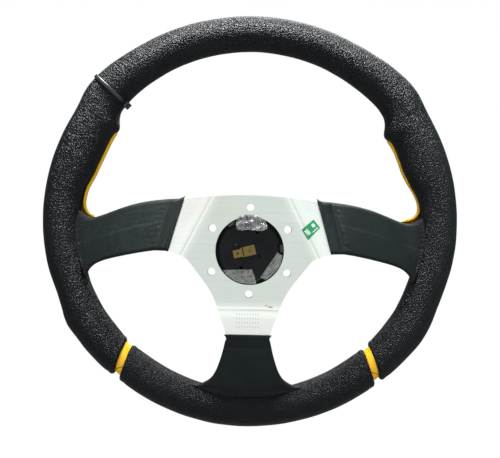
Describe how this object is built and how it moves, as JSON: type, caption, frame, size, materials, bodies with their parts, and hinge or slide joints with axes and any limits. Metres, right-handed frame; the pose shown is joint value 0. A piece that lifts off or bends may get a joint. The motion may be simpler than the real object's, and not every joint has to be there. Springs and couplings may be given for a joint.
{
  "type": "quick release steering wheel",
  "caption": "Dished three-spoke round sports steering wheel with thumb grips, a six-bolt hub flange for a quick-release boss and a sprung horn button.",
  "frame": {"origin": "centre of the bolt circle on the spoke plate's rear mounting face", "axes": "+Y along the wheel axis to the steering column, -Y to the driver, +Z to the top of the wheel, +X to the driver's right"},
  "size_m": [0.3467, 0.0582, 0.3467],
  "materials": {
    "brushed_aluminium": "brushed",
    "hoop_steel": "satin",
    "rivet_steel": "satin",
    "grip_foam": "matte",
    "grained_leatherette": "satin",
    "smooth_leatherette": "satin",
    "yellow_leatherette": "satin",
    "yellow_plastic": "satin",
    "ring_plastic": "matte",
    "horn_plastic": "satin",
    "bezel_plastic": "gloss",
    "cap_plastic": "satin",
    "contact_brass": "satin",
    "spring_steel": "satin",
    "nylon_black": "satin",
    "clear_tape": "gloss",
    "green_label": "gloss"
  },
  "bodies": {
    "wheel": {"spoke_plate": "brushed_aluminium", "rim_hoop": "hoop_steel", "arm_rivets": "rivet_steel", "foam_upper": "grip_foam", "foam_lower": "grip_foam", "grip_skin_upper": "grained_leatherette", "grip_skin_lower": "grained_leatherette", "spoke_cover_right": "smooth_leatherette", "spoke_cover_left": "smooth_leatherette", "spoke_cover_lower": "smooth_leatherette", "thumb_insert_right": "yellow_leatherette", "thumb_insert_left": "yellow_leatherette", "accent_band_right": "yellow_plastic", "accent_band_left": "yellow_plastic", "retaining_ring": "ring_plastic", "horn_housing": "horn_plastic", "horn_bezel": "bezel_plastic", "terminal_rivet": "contact_brass", "spade_terminal": "contact_brass", "horn_spring": "spring_steel", "retaining_clips": "spring_steel", "cable_tie": "nylon_black", "tape_top": "clear_tape", "tape_lower": "clear_tape", "tape_side": "clear_tape", "inspection_sticker": "green_label"},
    "horn_button": {"horn_cap": "cap_plastic", "moving_contact": "contact_brass"}
  },
  "joints": [
    {"name": "horn_push", "type": "slide", "parent": "wheel", "child": "horn_button", "axis": [0, 1, 0], "range_m": [0, 0.002], "stiffness_N_per_m": 3000, "springref_m": -0.001, "deforming": ["horn_spring"]}
  ]
}
